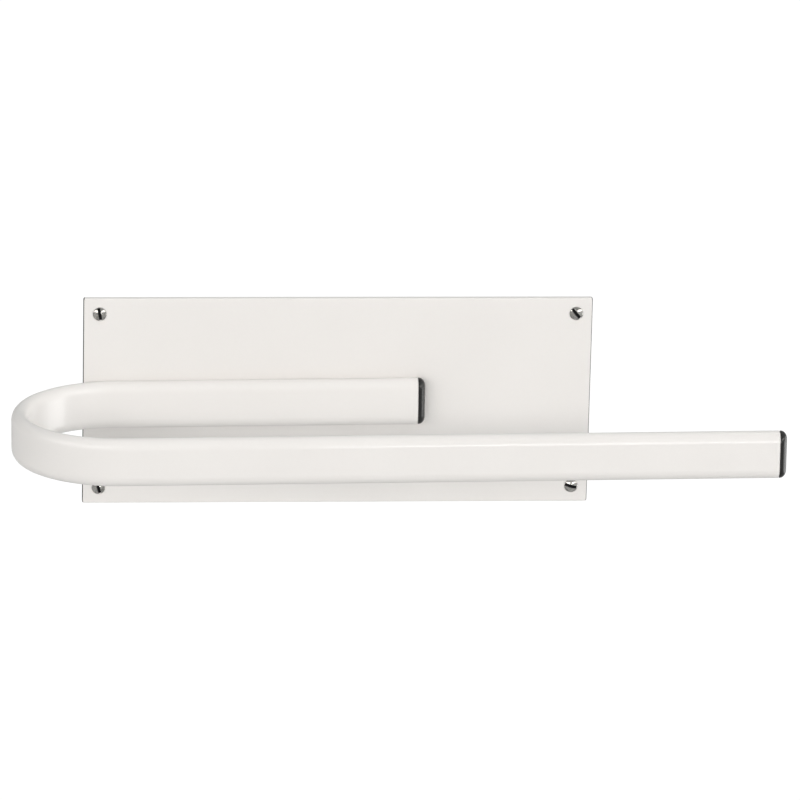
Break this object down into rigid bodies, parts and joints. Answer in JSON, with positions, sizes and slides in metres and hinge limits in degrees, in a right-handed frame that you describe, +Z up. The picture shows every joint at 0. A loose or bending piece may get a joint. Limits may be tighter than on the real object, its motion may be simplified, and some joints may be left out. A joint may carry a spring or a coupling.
{
  "type": "paper towel holder",
  "caption": "Wall-mounted paper towel holder: a white flat-oval tube bent into a level hairpin on a screwed plate; the roll slides onto its open front leg.",
  "frame": {"origin": "centre of the wall plate's back face, on the wall's surface", "axes": "+X towards the arm's open end, +Y into the wall, +Z up; the holder stands out towards -Y"},
  "size_m": [0.3702, 0.1223, 0.105],
  "materials": {
    "white_powder_coat": "gloss white powder coat on steel, faint orange peel",
    "black_plastic": "black moulded polyethylene, semi-gloss",
    "bright_steel": "bright nickel-plated steel",
    "zinc_steel": "zinc-plated steel"
  },
  "bodies": {
    "root": {"wall_plate": "white_powder_coat", "roll_arm": "white_powder_coat", "arm_end_cap_front": "black_plastic", "arm_end_cap_rear": "black_plastic", "arm_clamp_bar": "zinc_steel", "arm_fixing_screw_left": "zinc_steel", "arm_fixing_screw_right": "zinc_steel", "wall_screw_top_left": "bright_steel", "wall_screw_top_right": "bright_steel", "wall_screw_bottom_right": "bright_steel", "wall_screw_bottom_left": "bright_steel"}
  },
  "joints": []
}
